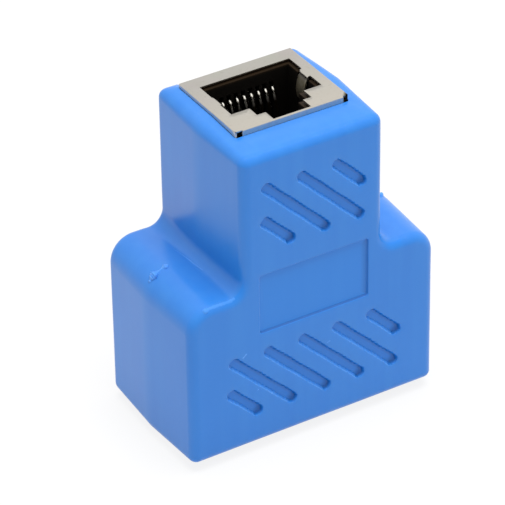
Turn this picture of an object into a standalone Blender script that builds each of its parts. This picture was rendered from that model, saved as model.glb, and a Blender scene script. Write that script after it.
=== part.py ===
"""Network splitter adapter: one RJ45 socket on top joined to two RJ45 sockets below.

Metres, +Z up. The adapter stands on the metal faces of its two lower sockets at z = 0, with
the origin under its middle. X runs along the wide lower block, and -Y is the face with the
recessed panel. Three shielded sockets are soldered to one tee-shaped board, and a one-piece
soft plastic body is moulded around them. Each socket is modelled once, in its own frame: the
middle of its mouth is the origin, +Z points out of the mouth and -Y is the side of the plug's
latch, where the board lies.
"""
import math

import bmesh
import bpy

# Fit between touching pieces
GAP = 0.00025

# Socket shield, folded from one sheet
JACK_WIDTH = 0.0156
JACK_HEIGHT = 0.0134
JACK_DEPTH = 0.0206
SHEET = 0.00025
SHIELD_MARGIN = 0.0004
SHIELD_LIP = 0.0030
NOTCH_WIDTH = 0.00055
NOTCH_DEPTH = 0.0011
NOTCH_REACH = 0.0003
LEG_WIDTH = 0.0016
LEG_DEPTH = 0.0079
LEG_REACH = 0.0009
SPRING_STOCK = 0.0002
SPRING_WIDTH = 0.0020
SPRING_OFFSET = 0.0007
SPRING_LENGTH = 0.0038
SPRING_THROW = 0.00025
SPRING_WAIST = 0.7
SPRING_BEND = 0.00035

# Socket cavity, from the mouth inwards
PLUG_WIDTH = 0.0120
PLUG_HEIGHT = 0.0067
CEILING = 0.0025
STEP_WIDTH = 0.0069
STEP_HEIGHT = 0.00175
LATCH_WIDTH = 0.0045
LATCH_HEIGHT = 0.0016
LATCH_LIP = 0.0022
LATCH_END_WALL = 0.0034
SPRING_ROOM = 0.0003

# Contact carrier, pressed in behind the cavity
CARRIER_DEPTH = 0.0060
CARRIER_SETBACK = 0.0012
CARRIER_SIDE = 0.0008

# Contact wires
CONTACTS = 8
PITCH = 0.00102
WIRE = 0.00035
WIRE_ROOM = 0.00013
WIRE_COVER = 0.0015
HAIRPIN_DEPTH = 0.0034
HAIRPIN_RADIUS = 0.0005
BEAM_ANGLE = math.radians(20.0)
BEAM_CLEARANCE = 0.0030
TAIL_BEND = 0.0006
TAIL_SETBACKS = (0.0054, 0.0029)
TAIL_REACH = 0.0010
COMB_START = 0.0022
COMB_SETBACK = 0.0011

# Locating posts of the housing
POST_RADIUS = 0.0009
POST_MARGIN = 0.0024
POST_SETBACK = 0.0022
POST_REACH = 0.0004

# Circuit board
BOARD_THICKNESS = 0.0016
BOARD_MARGIN = 0.0024
PIN_HOLE_RADIUS = 0.0004

# Layout of the three sockets
JACK_WEB = 0.0013
JACK_FLOOR = 0.0031
SHIELD_PROUD = 0.0007

# Moulded body walls, measured from the sockets
LOWER_WALL = 0.00195
STEM_WALL = 0.0027
FRONT_WALL = 0.0046
BACK_WALL = 0.0025
SHOULDER_ROOF = 0.0037
DRAFT = math.radians(2.6)
EDGE_RADIUS = 0.0013
SHOULDER_RADIUS = 0.0039
FOOT_RADIUS = 0.00175
TOP_RADIUS = 0.0017
BASE_RADIUS = 0.0016
SHARPEST_RADIUS = 0.0001

# Slanted grip slots and the recessed panel
SLOT_PITCH = 0.00498
SLOT_WIDTH = 0.0015
SLOT_DEPTH = 0.0007
SLOT_RISE = 0.0082
UPPER_SLOT_MARGIN = 0.0037
UPPER_SLOT_DROP = 0.0053
LOWER_SLOT_MARGIN = 0.00625
LOWER_SLOT_LIFT = 0.0056
PANEL_WIDTH = 0.0157
PANEL_HEIGHT = 0.0085
PANEL_LIFT = 0.0169
PANEL_CORNER = 0.0007
PANEL_DEPTH = 0.00025

# Steps along the round stretches
STEPS_SHOULDER = 9
STEPS_CORNER = 5
STEPS_EDGE = 5
STEPS_SLOT = 6
STEPS_BEND = 6
STEPS_POST = 12
STEPS_PIN_HOLE = 8

# Places that follow from the sizes above
JACK_SPACING = JACK_WIDTH + JACK_WEB
JACK_TOP = 2 * JACK_DEPTH + JACK_FLOOR
BODY_BASE = SHIELD_PROUD
BODY_TOP = JACK_TOP - SHIELD_PROUD
LOWER_HALF = (JACK_SPACING + JACK_WIDTH) / 2 + LOWER_WALL
STEM_HALF = JACK_WIDTH / 2 + STEM_WALL
SHOULDER_TOP = JACK_DEPTH + SHOULDER_ROOF
BODY_HALF_DEPTH = (FRONT_WALL + JACK_HEIGHT + BACK_WALL) / 2
JACK_Y = (FRONT_WALL - BACK_WALL) / 2
SHELL_HALF_WIDTH = JACK_WIDTH / 2 - SHEET
SHELL_HALF_HEIGHT = JACK_HEIGHT / 2 - SHEET
HOUSING_HALF_WIDTH = SHELL_HALF_WIDTH - GAP
HOUSING_HALF_HEIGHT = SHELL_HALF_HEIGHT - GAP
HOUSING_FRONT = -SHEET - GAP
HOUSING_BACK = GAP + SHEET - JACK_DEPTH
CAVITY_DEPTH = JACK_DEPTH - CARRIER_DEPTH - CARRIER_SETBACK
CAVITY_TOP = JACK_HEIGHT / 2 - CEILING
LEDGE = CAVITY_TOP - PLUG_HEIGHT
STEP_FLOOR = LEDGE - STEP_HEIGHT
LATCH_FLOOR = STEP_FLOOR - LATCH_HEIGHT
CARRIER_FRONT = -CAVITY_DEPTH
CARRIER_BACK = CARRIER_FRONT - CARRIER_DEPTH
CARRIER_HALF_WIDTH = HOUSING_HALF_WIDTH - CARRIER_SIDE
LATCH_DEPTH = CAVITY_DEPTH - LATCH_END_WALL
COMB_END = CAVITY_DEPTH - COMB_SETBACK
BEAM_END = CAVITY_DEPTH - BEAM_CLEARANCE
TAIL_ROWS = [JACK_DEPTH - setback for setback in TAIL_SETBACKS]
POST_OFFSET = JACK_WIDTH / 2 - POST_MARGIN
POST_DEPTH = CAVITY_DEPTH - POST_SETBACK
WIRE_RUN = HOUSING_HALF_HEIGHT - WIRE_COVER
GROOVE_HALF = WIRE / 2 + WIRE_ROOM
GROOVE_FLOOR = WIRE_RUN - GROOVE_HALF
BOARD_BACK = -JACK_HEIGHT / 2 - GAP
BOARD_FRONT = BOARD_BACK - BOARD_THICKNESS
LEG_TIP = BOARD_FRONT - LEG_REACH
TAIL_TIP = BOARD_FRONT - TAIL_REACH
CUT = 0.002

JACKS = {
    "top": ((0.0, JACK_Y, JACK_TOP), 0.0),
    "left": ((-JACK_SPACING / 2, JACK_Y, 0.0), math.pi),
    "right": ((JACK_SPACING / 2, JACK_Y, 0.0), math.pi),
}


# Scene, materials and collections
def clear_scene():
    for item in list(bpy.data.objects):
        bpy.data.objects.remove(item, do_unlink=True)


def new_collection(name):
    group = bpy.data.collections.new(name)
    bpy.context.scene.collection.children.link(group)
    return group


def principled(name, color, roughness, metallic=0.0):
    finish = bpy.data.materials.new(name)
    finish.use_nodes = True
    shader = finish.node_tree.nodes["Principled BSDF"]
    shader.inputs["Base Color"].default_value = (*color, 1.0)
    shader.inputs["Roughness"].default_value = roughness
    shader.inputs["Metallic"].default_value = metallic
    return finish


clear_scene()
PARTS = new_collection("rj45_splitter_adapter")
CUTTERS = new_collection("cutters")
BLUE_PLASTIC = principled("blue_soft_plastic", (0.075, 0.25, 0.70), 0.42)
NICKEL_STEEL = principled("nickel_plated_steel", (0.62, 0.60, 0.54), 0.32, 1.0)
BLACK_PLASTIC = principled("black_moulding", (0.012, 0.011, 0.010), 0.45)
GOLD_WIRE = principled("gilt_spring_wire", (0.83, 0.66, 0.30), 0.22, 1.0)
BOARD_GREEN = principled("green_board", (0.02, 0.16, 0.06), 0.40)


# Building blocks
def add_object(name, mesh, group, finish=None):
    item = bpy.data.objects.new(name, mesh)
    group.objects.link(item)
    if finish is not None and not mesh.materials:
        mesh.materials.append(finish)
    if group is CUTTERS:
        item.hide_render = True
        item.display_type = "WIRE"
    return item


def box(name, low, high, group=None, finish=None):
    """A box between two corners."""
    bm = bmesh.new()
    bmesh.ops.create_cube(bm, size=1.0)
    size = [b - a for a, b in zip(low, high)]
    middle = [(a + b) / 2 for a, b in zip(low, high)]
    bmesh.ops.scale(bm, vec=size, verts=bm.verts)
    bmesh.ops.translate(bm, vec=middle, verts=bm.verts)
    mesh = bpy.data.meshes.new(name)
    bm.to_mesh(mesh)
    bm.free()
    return add_object(name, mesh, group or CUTTERS, finish)


def curve_to_object(curve, group, finish, turn=(0.0, 0.0, 0.0), place=(0.0, 0.0, 0.0)):
    """The closed mesh of a curve, with its loose caps welded to its sides."""
    guide = bpy.data.objects.new(curve.name, curve)
    bpy.context.scene.collection.objects.link(guide)
    guide.rotation_euler = turn
    guide.location = place
    bpy.context.view_layer.update()
    seen = guide.evaluated_get(bpy.context.evaluated_depsgraph_get())
    mesh = bpy.data.meshes.new_from_object(seen)
    mesh.transform(guide.matrix_world)
    bm = bmesh.new()
    bm.from_mesh(mesh)
    bmesh.ops.remove_doubles(bm, verts=bm.verts, dist=0.000001)
    bmesh.ops.recalc_face_normals(bm, faces=bm.faces)
    bm.to_mesh(mesh)
    bm.free()
    name = curve.name
    bpy.data.objects.remove(guide, do_unlink=True)
    mesh.name = name
    mesh.materials.clear()
    return add_object(name, mesh, group, finish)


def plate(name, outlines, low, high, across="Z", group=None, finish=None):
    """Flat outlines filled and given a thickness from low to high along one axis.

    Outlines lie in XY for Z, in XZ for Y and in YZ for X. One inside another is a hole.
    """
    curve = bpy.data.curves.new(name, "CURVE")
    curve.dimensions = "2D"
    curve.fill_mode = "BOTH"
    curve.extrude = (high - low) / 2
    for outline in outlines:
        spline = curve.splines.new("POLY")
        spline.points.add(len(outline) - 1)
        for point, (a, b) in zip(spline.points, outline):
            point.co = (a, b, 0.0, 1.0)
        spline.use_cyclic_u = True
    middle = (low + high) / 2
    turn, place = {
        "Z": ((0.0, 0.0, 0.0), (0.0, 0.0, middle)),
        "Y": ((math.pi / 2, 0.0, 0.0), (0.0, middle, 0.0)),
        "X": ((math.pi / 2, 0.0, math.pi / 2), (middle, 0.0, 0.0)),
    }[across]
    return curve_to_object(curve, group or CUTTERS, finish, turn, place)


def boolean(target, other, operation="DIFFERENCE"):
    step = target.modifiers.new(operation.lower() + "_" + other.name, "BOOLEAN")
    step.operation = operation
    step.solver = "EXACT"
    step.object = other


def applied_mesh(item):
    """The mesh of an object with its modifiers applied, and the object taken away."""
    bpy.context.view_layer.update()
    seen = item.evaluated_get(bpy.context.evaluated_depsgraph_get())
    mesh = bpy.data.meshes.new_from_object(seen)
    name = item.name
    bpy.data.objects.remove(item, do_unlink=True)
    mesh.name = name
    return mesh


def arc(center, radius, start, sweep, steps):
    """Points on an arc, with angles in degrees, both ends included."""
    angles = [math.radians(start + sweep * i / steps) for i in range(steps + 1)]
    return [(center[0] + radius * math.cos(a), center[1] + radius * math.sin(a)) for a in angles]


def circle(center, radius, steps):
    return arc(center, radius, 0.0, 360.0, steps)[:-1]


def rectangle(low, high):
    return [low, (high[0], low[1]), high, (low[0], high[1])]


def smooth(mesh, angle=40.0):
    mesh.shade_smooth()
    mesh.set_sharp_from_angle(angle=math.radians(angle))


# Moulded body: a tee drawn at the parting plane, drafted and rounded to both faces
def tee_outline(inset):
    """The tee's outline in X and Z, moved in by an amount that also changes its radii."""
    lower = LOWER_HALF - inset
    stem = STEM_HALF - inset
    shoulder = SHOULDER_TOP - inset
    base_r = max(BASE_RADIUS - inset, SHARPEST_RADIUS)
    top_r = max(TOP_RADIUS - inset, SHARPEST_RADIUS)
    shoulder_r = max(SHOULDER_RADIUS - inset, SHARPEST_RADIUS)
    foot_r = FOOT_RADIUS + inset
    base = BODY_BASE + inset
    top = BODY_TOP - inset
    right = arc((lower - base_r, base + base_r), base_r, -90, 90, STEPS_CORNER)
    right += arc((lower - shoulder_r, shoulder - shoulder_r), shoulder_r, 0, 90, STEPS_SHOULDER)
    right += arc((stem + foot_r, shoulder + foot_r), foot_r, -90, -90, STEPS_CORNER)
    right += arc((stem - top_r, top - top_r), top_r, 0, 90, STEPS_CORNER)
    return right + [(-x, z) for x, z in reversed(right)]


def edge_profile():
    """Pairs of depth and inset, from the parting plane over the rounded edge to the face."""
    center_depth = BODY_HALF_DEPTH - EDGE_RADIUS
    tangent_depth = center_depth + EDGE_RADIUS * math.sin(DRAFT)
    tangent_inset = tangent_depth * math.tan(DRAFT)
    center_inset = tangent_inset + EDGE_RADIUS * math.cos(DRAFT)
    profile = [(0.0, 0.0)]
    for i in range(STEPS_EDGE + 1):
        angle = DRAFT + (math.pi / 2 - DRAFT) * i / STEPS_EDGE
        depth = center_depth + EDGE_RADIUS * math.sin(angle)
        profile.append((depth, center_inset - EDGE_RADIUS * math.cos(angle)))
    return profile


def half_tee():
    """The front half of the solid tee, lofted over the edge profile and open at the plane."""
    bm = bmesh.new()
    rings = []
    for depth, inset in edge_profile():
        rings.append([bm.verts.new((x, -depth, z)) for x, z in tee_outline(inset)])
    for back, front in zip(rings, rings[1:]):
        for i in range(len(back)):
            j = (i + 1) % len(back)
            bm.faces.new((back[j], front[j], front[i], back[i]))
    bm.faces.new(rings[-1])
    mesh = bpy.data.meshes.new("body")
    bm.to_mesh(mesh)
    bm.free()
    return mesh


def slot_outlines(half_window, low):
    """Capsules at 45 degrees on one pitch, their end centres kept inside the window's sides."""
    high = low + SLOT_RISE
    radius = SLOT_WIDTH / 2
    count = math.ceil((half_window + SLOT_RISE / 2) / SLOT_PITCH)
    outlines = []
    for k in range(-count, count):
        start = (k + 0.5) * SLOT_PITCH - SLOT_RISE / 2
        left = max(start, -half_window)
        right = min(start + SLOT_RISE, half_window)
        if right - left < SLOT_WIDTH:
            continue
        first = (left, high - (left - start))
        last = (right, low + (start + SLOT_RISE - right))
        outlines.append(arc(last, radius, -135, 180, STEPS_SLOT) + arc(first, radius, 45, 180, STEPS_SLOT))
    return outlines


def panel_outline():
    half = PANEL_WIDTH / 2
    low = BODY_BASE + PANEL_LIFT
    high = low + PANEL_HEIGHT
    r = PANEL_CORNER
    points = arc((half - r, low + r), r, -90, 90, STEPS_CORNER)
    points += arc((half - r, high - r), r, 0, 90, STEPS_CORNER)
    return points + [(-x, z) for x, z in reversed(points)]


def jack_box(name, low, high):
    """A cutter for each socket, from a box in the socket's own frame."""
    cutters = []
    for key, (place, turn) in JACKS.items():
        cutter = box(key + "_" + name, low, high)
        cutter.location = place
        cutter.rotation_euler = (0.0, turn, 0.0)
        cutters.append(cutter)
    return cutters


def make_body():
    body = add_object("body", half_tee(), PARTS, BLUE_PLASTIC)
    mirror = body.modifiers.new("mirror", "MIRROR")
    mirror.use_axis = (False, True, False)
    mirror.merge_threshold = 0.00001
    slots = slot_outlines(STEM_HALF - UPPER_SLOT_MARGIN, BODY_TOP - UPPER_SLOT_DROP - SLOT_RISE)
    slots += slot_outlines(LOWER_HALF - LOWER_SLOT_MARGIN, BODY_BASE + LOWER_SLOT_LIFT)
    face = BODY_HALF_DEPTH
    boolean(body, plate("front_slots", slots, -face - CUT, SLOT_DEPTH - face, "Y"))
    boolean(body, plate("back_slots", slots, face - SLOT_DEPTH, face + CUT, "Y"))
    boolean(body, plate("panel", [panel_outline()], -face - CUT, PANEL_DEPTH - face, "Y"))
    half = JACK_WIDTH / 2 + GAP
    room = JACK_HEIGHT / 2 + GAP
    for pocket in jack_box("pocket", (-half, -room, -JACK_DEPTH - GAP), (half, room, CUT)):
        boolean(body, pocket)
    room_front = JACK_Y + BOARD_FRONT - GAP
    room_back = JACK_Y + BOARD_BACK + GAP
    boolean(body, plate("board_room", [board_outline(GAP)], room_front, room_back, "Y"))
    relief_low = (-half, TAIL_TIP - GAP, -max(TAIL_ROWS) - WIRE - GAP)
    relief_high = (half, -JACK_HEIGHT / 2, LEG_WIDTH / 2 + GAP - LEG_DEPTH)
    for relief in jack_box("relief", relief_low, relief_high):
        boolean(body, relief)
    smooth(body.data)
    return body


# Socket outlines, shared by the shield's window and the housing's cavity
def mouth_outline(grow, floor):
    """The stepped opening for a plug and its latch, seen from outside the mouth."""
    wide = PLUG_WIDTH / 2 + grow
    step = STEP_WIDTH / 2 + grow
    latch = LATCH_WIDTH / 2 + grow
    right = [(latch, floor), (latch, STEP_FLOOR - grow), (step, STEP_FLOOR - grow)]
    right += [(step, LEDGE - grow), (wide, LEDGE - grow), (wide, CAVITY_TOP + grow)]
    return right + [(-x, y) for x, y in reversed(right)]


def spring_outline():
    """A sheet strip bent from the window's edge down into the cavity, in X and Z."""
    edge = PLUG_WIDTH / 2 + SHIELD_MARGIN
    top = (SPRING_STOCK - SHEET) / 2
    bottom = top - SPRING_STOCK
    center = (edge, bottom - SPRING_BEND)
    throat = edge - SPRING_BEND - SPRING_STOCK
    tip = -SPRING_LENGTH
    waist = tip * SPRING_WAIST
    outer = [(edge + SHEET, top)] + arc(center, SPRING_BEND + SPRING_STOCK, 90, 90, STEPS_BEND)
    outer += [(throat - SPRING_THROW, waist), (throat - SPRING_THROW / 2, tip)]
    inner = [(x + SPRING_STOCK, z) for x, z in reversed(outer[-2:])]
    inner += arc(center, SPRING_BEND, 180, -90, STEPS_BEND)
    return outer + inner + [(edge + SHEET, bottom)]


def mirrored(points):
    return [(-a, b) for a, b in reversed(points)]


# Shield: a folded can, open towards the board behind a short lip, with two solder legs
def make_shield():
    half = JACK_WIDTH / 2
    height = JACK_HEIGHT / 2
    inside = SHELL_HALF_WIDTH
    beyond = LEG_TIP - CUT
    shield = box("shield", (-half, LEG_TIP, -JACK_DEPTH), (half, height, 0.0), PARTS, NICKEL_STEEL)
    back = SHEET - JACK_DEPTH
    inner_low = (-inside, -SHELL_HALF_HEIGHT, back)
    boolean(shield, box("shield_inside", inner_low, (inside, SHELL_HALF_HEIGHT, -SHEET)))
    boolean(shield, box("shield_open_side", (-inside, beyond, back), (inside, 0.0, -SHIELD_LIP)))
    before_low = (-half - CUT, beyond, LEG_WIDTH / 2 - LEG_DEPTH)
    boolean(shield, box("before_legs", before_low, (half + CUT, -height, CUT)))
    behind_high = (half + CUT, -height, -LEG_DEPTH - LEG_WIDTH / 2)
    boolean(shield, box("behind_legs", (-half - CUT, beyond, -JACK_DEPTH - CUT), behind_high))
    window = mouth_outline(SHIELD_MARGIN, -SHELL_HALF_HEIGHT)
    boolean(shield, plate("shield_window", [window], -2 * SHEET, CUT))
    for side in (-1, 1):
        x = sorted((side * (half - NOTCH_WIDTH), side * (half + CUT)))
        notch_low = (x[0], -height - CUT, -NOTCH_DEPTH)
        boolean(shield, box(f"notch_{side}", notch_low, (x[1], NOTCH_REACH - height, CUT)))
        strip = spring_outline() if side > 0 else mirrored(spring_outline())
        low = SPRING_OFFSET - SPRING_WIDTH / 2
        spring = plate(f"spring_{side}", [strip], low, low + SPRING_WIDTH, "Y")
        boolean(shield, spring, "UNION")
    return applied_mesh(shield)


# Contact places along X, and the groove that each wire lies in
def contact_x(number):
    return (number - (CONTACTS - 1) / 2) * PITCH


def tail_depth(number):
    return TAIL_ROWS[number % len(TAIL_ROWS)]


def groove_cutters(name, outline_of):
    """One cutter holding a groove for each contact, from its outline in Y and Z."""
    grooves = []
    for number in range(CONTACTS):
        low = contact_x(number) - GROOVE_HALF
        outline = outline_of(number)
        grooves.append(plate(f"{name}_{number + 1}", [outline], low, low + 2 * GROOVE_HALF, "X"))
    return grooves


# Housing: the black moulding with the stepped cavity, latch chamber and contact comb
def make_housing():
    half = HOUSING_HALF_WIDTH
    height = HOUSING_HALF_HEIGHT
    low = (-half, -height, HOUSING_BACK)
    housing = box("housing", low, (half, height, HOUSING_FRONT), PARTS, BLACK_PLASTIC)
    mouth = mouth_outline(0.0, LATCH_FLOOR)
    boolean(housing, plate("mouth", [mouth], -LATCH_LIP - GAP, CUT))
    chamber_low = (-STEP_WIDTH / 2, LATCH_FLOOR, -LATCH_DEPTH)
    boolean(housing, box("latch_chamber", chamber_low, (STEP_WIDTH / 2, 0.0, -LATCH_LIP)))
    wide = PLUG_WIDTH / 2
    cavity_low = (-wide, LEDGE, CARRIER_FRONT - CUT)
    boolean(housing, box("cavity", cavity_low, (wide, CAVITY_TOP, HOUSING_FRONT - GAP)))
    side = CARRIER_HALF_WIDTH + GAP
    pocket_low = (-side, -height - CUT, HOUSING_BACK - CUT)
    boolean(housing, box("carrier_pocket", pocket_low, (side, height + CUT, CARRIER_FRONT + GAP)))
    spring_side = wide + SHIELD_MARGIN + SPRING_ROOM
    room_low = (-spring_side, SPRING_OFFSET - SPRING_WIDTH / 2 - GAP, -SPRING_LENGTH - GAP)
    room_high = (spring_side, SPRING_OFFSET + SPRING_WIDTH / 2 + GAP, CUT)
    boolean(housing, box("spring_room", room_low, room_high))

    def comb_outline(number):
        inside = CAVITY_TOP - GAP
        outside = height + CUT
        end = CARRIER_FRONT - GAP
        deep = [(inside, -COMB_START), (inside, -COMB_END), (GROOVE_FLOOR, -COMB_END)]
        return deep + [(GROOVE_FLOOR, end), (outside, end), (outside, -COMB_START)]

    for groove in groove_cutters("comb", comb_outline):
        boolean(housing, groove)
    for side in (-1, 1):
        ring = circle((side * POST_OFFSET, -POST_DEPTH), POST_RADIUS, STEPS_POST)
        post = plate(f"post_{side}", [ring], BOARD_FRONT - POST_REACH, 2 * GAP - height, "Y")
        boolean(housing, post, "UNION")
    return applied_mesh(housing)


# Carrier: the block that leads the wires down to the board and closes the cavity's end
def make_carrier():
    half = CARRIER_HALF_WIDTH
    height = HOUSING_HALF_HEIGHT
    low = (-half, -height, CARRIER_BACK)
    carrier = box("carrier", low, (half, height, CARRIER_FRONT), PARTS, BLACK_PLASTIC)

    def groove_outline(number):
        near = GROOVE_HALF - tail_depth(number)
        far = -GROOVE_HALF - tail_depth(number)
        front = CARRIER_FRONT + CUT
        run = [(height + CUT, front), (GROOVE_FLOOR, front), (GROOVE_FLOOR, near)]
        return run + [(-height - CUT, near), (-height - CUT, far), (height + CUT, far)]

    for groove in groove_cutters("carrier_groove", groove_outline):
        boolean(carrier, groove)
    return applied_mesh(carrier)


# Contact: one round spring wire from its solder tail to its free end in the cavity
def contact_path(number):
    """The wire's middle in Y and Z: tail, bend, run, hairpin at the mouth and sloped beam."""
    row = -tail_depth(number)
    points = [(TAIL_TIP, row)]
    points += arc((WIRE_RUN - TAIL_BEND, row + TAIL_BEND), TAIL_BEND, -90, 90, STEPS_BEND // 2)
    turn = 180.0 - math.degrees(BEAM_ANGLE)
    center = (WIRE_RUN - HAIRPIN_RADIUS, -HAIRPIN_DEPTH)
    points += arc(center, HAIRPIN_RADIUS, 0.0, turn, STEPS_BEND)
    y, z = points[-1]
    y -= (z + BEAM_END) * math.tan(BEAM_ANGLE)
    return points + [(y, -BEAM_END)]


def make_contact(number):
    curve = bpy.data.curves.new(f"contact_{number + 1}", "CURVE")
    curve.dimensions = "3D"
    curve.bevel_depth = WIRE / 2
    curve.bevel_resolution = 2
    curve.use_fill_caps = True
    path = contact_path(number)
    spline = curve.splines.new("POLY")
    spline.points.add(len(path) - 1)
    for point, (y, z) in zip(spline.points, path):
        point.co = (contact_x(number), y, z, 1.0)
    wire = curve_to_object(curve, PARTS, GOLD_WIRE)
    smooth(wire.data)
    return applied_mesh(wire)


# Board: a tee that the shields' outer legs straddle, drilled for wires and posts
def board_outline(grow):
    inside = JACK_WIDTH / 2 - SHEET - GAP
    lower = JACK_SPACING / 2 + inside + grow
    stem = inside + grow
    base = LEG_DEPTH - BOARD_MARGIN - grow
    top = JACK_TOP - LEG_DEPTH + BOARD_MARGIN + grow
    shoulder = JACK_DEPTH + grow
    right = [(lower, base), (lower, shoulder), (stem, shoulder), (stem, top)]
    return right + mirrored(right)


def board_holes():
    holes = []
    for place, turn in JACKS.values():
        up = -1.0 if turn == 0.0 else 1.0
        across = math.cos(turn)
        for number in range(CONTACTS):
            middle = (place[0] + across * contact_x(number), place[2] + up * tail_depth(number))
            holes.append(circle(middle, PIN_HOLE_RADIUS, STEPS_PIN_HOLE))
        for side in (-1, 1):
            middle = (place[0] + side * POST_OFFSET, place[2] + up * POST_DEPTH)
            holes.append(circle(middle, POST_RADIUS + GAP, STEPS_POST))
    half = JACK_WEB / 2 + SHEET + GAP
    low = LEG_DEPTH - LEG_WIDTH / 2 - GAP
    holes.append(rectangle((-half, low), (half, low + LEG_WIDTH + 2 * GAP)))
    return holes


def make_board():
    outlines = [board_outline(0.0)] + board_holes()
    front = JACK_Y + BOARD_FRONT
    plate("circuit_board", outlines, front, front + BOARD_THICKNESS, "Y", PARTS, BOARD_GREEN)


# Assembly: the three sockets hang on empties at their mouths
def place_jack(key, meshes):
    place, turn = JACKS[key]
    mouth = bpy.data.objects.new(key + "_socket", None)
    PARTS.objects.link(mouth)
    mouth.location = place
    mouth.rotation_euler = (0.0, turn, 0.0)
    for name, mesh in meshes.items():
        piece = bpy.data.objects.new(f"{key}_{name}", mesh)
        PARTS.objects.link(piece)
        piece.parent = mouth


make_body()
make_board()
JACK_MESHES = {"shield": make_shield(), "housing": make_housing(), "carrier": make_carrier()}
for contact_number in range(CONTACTS):
    JACK_MESHES[f"contact_{contact_number + 1}"] = make_contact(contact_number)
for jack_name in JACKS:
    place_jack(jack_name, JACK_MESHES)
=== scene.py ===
"""Looks for the moulded three-socket network splitter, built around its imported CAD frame.

Sizes in this file are millimetres until a piece's mesh is made, which is in metres.
"""
import math

import bmesh
import bpy
import numpy as np
from mathutils import Matrix, Vector
from mathutils.geometry import delaunay_2d_cdt


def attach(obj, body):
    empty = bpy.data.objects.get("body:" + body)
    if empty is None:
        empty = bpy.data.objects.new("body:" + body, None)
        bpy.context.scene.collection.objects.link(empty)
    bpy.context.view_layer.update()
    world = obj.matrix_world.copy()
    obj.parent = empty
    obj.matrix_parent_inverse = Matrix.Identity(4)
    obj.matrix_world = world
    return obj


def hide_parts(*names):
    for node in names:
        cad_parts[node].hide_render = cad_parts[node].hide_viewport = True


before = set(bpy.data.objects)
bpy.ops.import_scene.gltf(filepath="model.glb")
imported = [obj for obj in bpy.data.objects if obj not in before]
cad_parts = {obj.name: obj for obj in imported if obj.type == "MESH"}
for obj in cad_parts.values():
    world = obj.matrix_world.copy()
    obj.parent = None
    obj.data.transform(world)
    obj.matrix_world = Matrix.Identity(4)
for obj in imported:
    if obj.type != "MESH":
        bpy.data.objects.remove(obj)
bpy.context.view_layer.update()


# Camera of the catalogue shot: a long lens from the front left, looking down by 34 degrees and
# rolled by one. The sensor is 36 mm wide for 505 pixels.
CAMERA_AZIMUTH, CAMERA_ELEVATION, CAMERA_ROLL = np.radians([-30.82, 33.83, -0.99])
CAMERA_DISTANCE = 432.0
CAMERA_TARGET = np.array([-2.67, 0.0, 22.0])
CAMERA_LENS = 247.95

backward = np.array([
    math.sin(CAMERA_AZIMUTH) * math.cos(CAMERA_ELEVATION),
    -math.cos(CAMERA_AZIMUTH) * math.cos(CAMERA_ELEVATION),
    math.sin(CAMERA_ELEVATION),
])
level_right = np.cross(-backward, [0.0, 0.0, 1.0])
level_right /= np.linalg.norm(level_right)
level_up = np.cross(level_right, -backward)
right = level_right * math.cos(CAMERA_ROLL) + level_up * math.sin(CAMERA_ROLL)
up = level_up * math.cos(CAMERA_ROLL) - level_right * math.sin(CAMERA_ROLL)
place = (CAMERA_TARGET + backward * CAMERA_DISTANCE) / 1000.0
camera = bpy.data.objects.new("camera", bpy.data.cameras.new("camera"))
camera.data.lens = CAMERA_LENS
camera.data.sensor_width = 36.0
camera.data.clip_start = 0.01
columns = np.column_stack([right, up, backward, place])
camera.matrix_world = Matrix([*columns.tolist(), [0.0, 0.0, 0.0, 1.0]])
bpy.context.scene.collection.objects.link(camera)
bpy.context.scene.camera = camera


# Moulded body: one piece of satin blue soft plastic, injected around the soldered sockets in
# a two-part mould that splits at mid-depth. Both halves are drafted, and every edge is round.
LOWER_HALF, STEM_HALF = 18.2, 10.5
BODY_BASE, SHOULDER_TOP, BODY_TOP = 0.7, 24.3, 43.6
HALF_DEPTH = 10.25
DRAFT = math.radians(2.6)
EDGE_RADIUS = 1.3
BASE_RADIUS, SHOULDER_RADIUS, FOOT_RADIUS, TOP_RADIUS = 1.5, 3.9, 1.75, 1.7
LEAST_RADIUS = 0.05
SPACING, BASE_STEPS, TOP_STEPS = 1.0, 16, 12


def ramp(t, run=1.0):
    """0 up to t = 0, then straight up to 1 at t = run."""
    return np.clip(t / run, 0, 1)


def inside(points, loops):
    """True where a ray to +x from a point crosses the closed loops an odd number of times."""
    start = np.concatenate(loops)
    end = np.concatenate([np.roll(loop, -1, axis=0) for loop in loops])
    x, y = points[:, 0, None], points[:, 1, None]
    spans = (start[:, 1] > y) != (end[:, 1] > y)
    rise = np.where(end[:, 1] == start[:, 1], 1e-12, end[:, 1] - start[:, 1])
    cross = start[:, 0] + (y - start[:, 1]) * (end[:, 0] - start[:, 0]) / rise
    return (spans & (x < cross)).sum(1) % 2 == 1


def fill_flat(outer, holes, spacing=SPACING):
    """Triangles over a flat region with holes.

    A Delaunay net ties the outlines and a square grid of inner points, and the triangles
    whose middle lies outside the outline or inside a hole are dropped by the even-odd rule.
    """
    loops = [outer, *holes]
    edge_points = np.concatenate(loops)
    low, high = outer.min(0), outer.max(0)
    steps = [np.arange(a + spacing / 2, b, spacing) for a, b in zip(low, high)]
    grid = np.stack(np.meshgrid(*steps), -1).reshape(-1, 2)
    clear = np.linalg.norm(grid[:, None] - edge_points[None], axis=-1).min(1) > 0.45 * spacing
    points = np.concatenate([edge_points, grid[clear & inside(grid, loops)]])
    ties, start = [], 0
    for loop in loops:
        index = start + np.arange(len(loop))
        ties += np.column_stack([index, np.roll(index, -1)]).tolist()
        start += len(loop)
    made = delaunay_2d_cdt([Vector(p) for p in points.tolist()], ties, [], 0, 1e-5)
    spots = np.array([tuple(p) for p in made[0]])
    faces = np.array(made[2])
    return spots, faces[inside(spots[faces].mean(1), loops)].tolist()


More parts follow.
